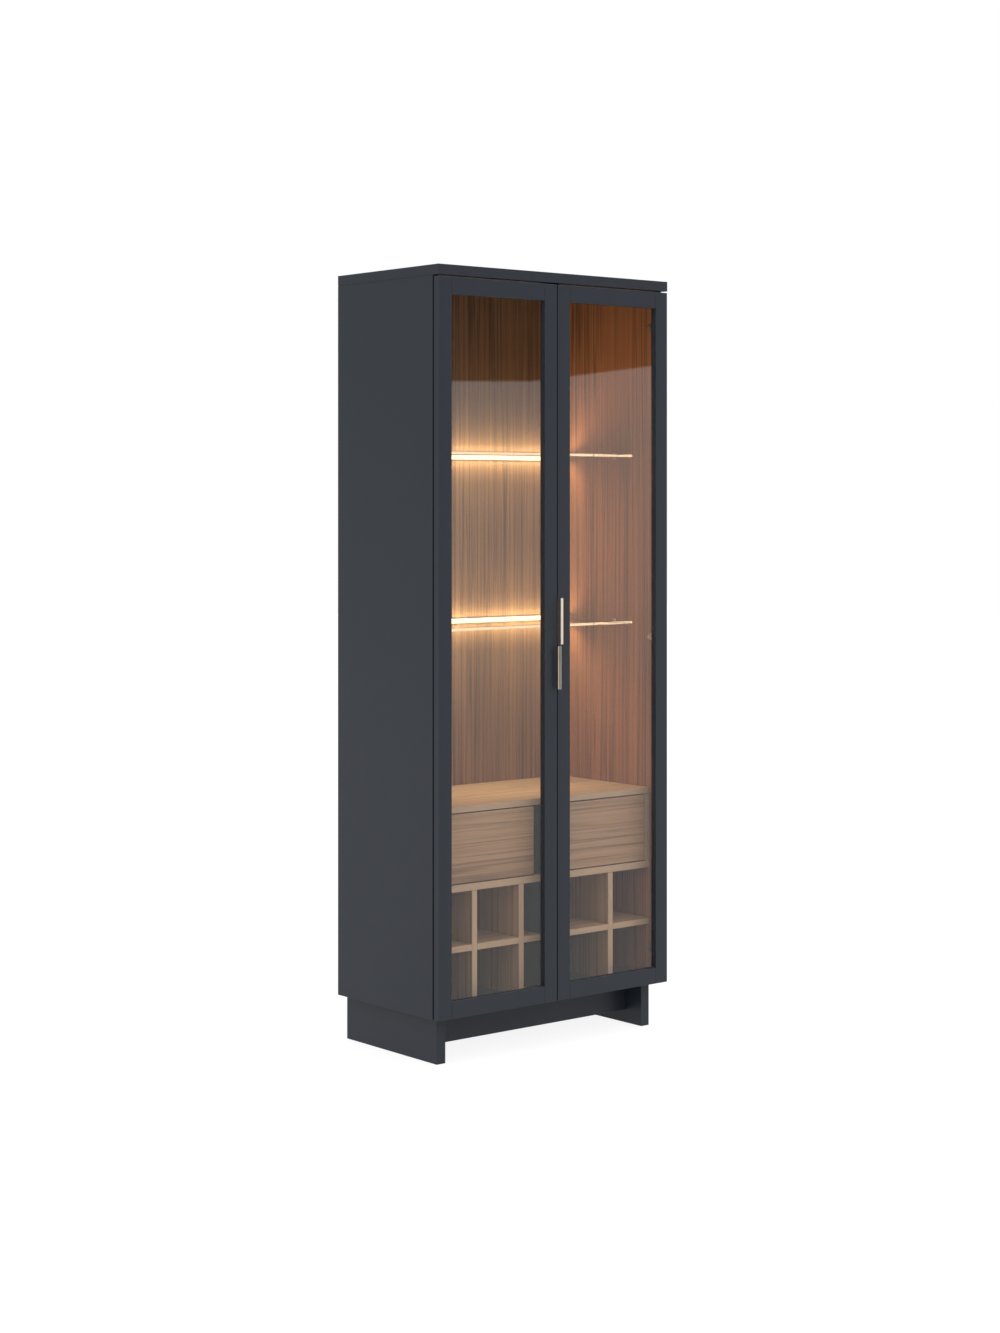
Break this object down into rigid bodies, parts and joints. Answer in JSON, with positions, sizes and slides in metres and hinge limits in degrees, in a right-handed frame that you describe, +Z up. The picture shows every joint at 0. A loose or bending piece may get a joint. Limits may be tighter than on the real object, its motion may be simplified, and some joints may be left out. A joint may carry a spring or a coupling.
{
  "type": "china cabinet",
  "caption": "Tall two-door display cabinet with framed glass doors, walnut lining, lit glass shelves, drawers and a bottle rack on a recessed plinth.",
  "frame": {"origin": "on the floor under the middle of the whole cabinet's bounding box, pulls included", "axes": "+Z up, the doors face -Y, +X to the right seen from the front"},
  "size_m": [0.78, 0.443, 2],
  "materials": {
    "anthracite_paint": "smooth matt anthracite paint over board",
    "walnut": "straight-grained walnut veneer, satin lacquer",
    "drawer_wood": "plain lacquered drawer-box wood",
    "clear_glass": "clear polished float glass",
    "shelf_glass": "clear toughened shelf glass with polished edges",
    "satin_brass": "satin champagne brass",
    "hinge_steel": "nickel-plated steel",
    "clip_chrome": "polished",
    "light_bar": "opal diffuser, lit warm white"
  },
  "bodies": {
    "carcass": {"top_panel": "anthracite_paint", "side_panel_left": "anthracite_paint", "side_panel_right": "anthracite_paint", "bottom_panel": "anthracite_paint", "leg_panel_left": "anthracite_paint", "leg_panel_right": "anthracite_paint", "base_rail_front": "anthracite_paint", "base_rail_back": "anthracite_paint", "rack_divider_3": "anthracite_paint", "drawer_partition": "anthracite_paint", "side_lining_left": "walnut", "side_lining_right": "walnut", "back_panel": "walnut", "deck_board": "walnut", "lower_board": "walnut", "mid_board": "walnut", "rack_divider_1": "walnut", "rack_divider_2": "walnut", "rack_divider_4": "walnut", "rack_divider_5": "walnut", "block_side_left": "walnut", "block_side_right": "walnut", "glass_shelf_lower": "shelf_glass", "glass_shelf_upper": "shelf_glass", "light_bar_lower": "light_bar", "light_bar_upper": "light_bar", "shelf_clip_lower_left": "clip_chrome", "shelf_clip_lower_right": "clip_chrome", "shelf_clip_upper_left": "clip_chrome", "shelf_clip_upper_right": "clip_chrome", "hinge_arm_left_1": "hinge_steel", "hinge_arm_left_2": "hinge_steel", "hinge_arm_left_3": "hinge_steel", "hinge_arm_right_1": "hinge_steel", "hinge_arm_right_2": "hinge_steel", "hinge_arm_right_3": "hinge_steel"},
    "door_left": {"stile_hinge_left": "anthracite_paint", "stile_meeting_left": "anthracite_paint", "rail_bottom_left": "anthracite_paint", "rail_top_left": "anthracite_paint", "pane_left": "clear_glass", "pull_left": "satin_brass", "hinge_cup_left_1": "hinge_steel", "hinge_cup_left_2": "hinge_steel", "hinge_cup_left_3": "hinge_steel"},
    "door_right": {"stile_hinge_right": "anthracite_paint", "stile_meeting_right": "anthracite_paint", "rail_bottom_right": "anthracite_paint", "rail_top_right": "anthracite_paint", "pane_right": "clear_glass", "pull_right": "satin_brass", "hinge_cup_right_1": "hinge_steel", "hinge_cup_right_2": "hinge_steel", "hinge_cup_right_3": "hinge_steel"},
    "drawer_left": {"drawer_front_left": "walnut", "drawer_box_left": "drawer_wood"},
    "drawer_right": {"drawer_front_right": "walnut", "drawer_box_right": "drawer_wood"}
  },
  "joints": [
    {"name": "door_left_hinge", "type": "hinge", "parent": "carcass", "child": "door_left", "pos_m": [-0.38, -0.197, 1.04475], "axis": [0, 0, -1], "range_deg": [0, 105]},
    {"name": "door_right_hinge", "type": "hinge", "parent": "carcass", "child": "door_right", "pos_m": [0.38, -0.197, 1.04475], "axis": [0, 0, 1], "range_deg": [0, 105]},
    {"name": "drawer_left_slide", "type": "slide", "parent": "carcass", "child": "drawer_left", "axis": [0, -1, 0], "range_m": [0, 0.032]},
    {"name": "drawer_right_slide", "type": "slide", "parent": "carcass", "child": "drawer_right", "axis": [0, -1, 0], "range_m": [0, 0.032]}
  ]
}
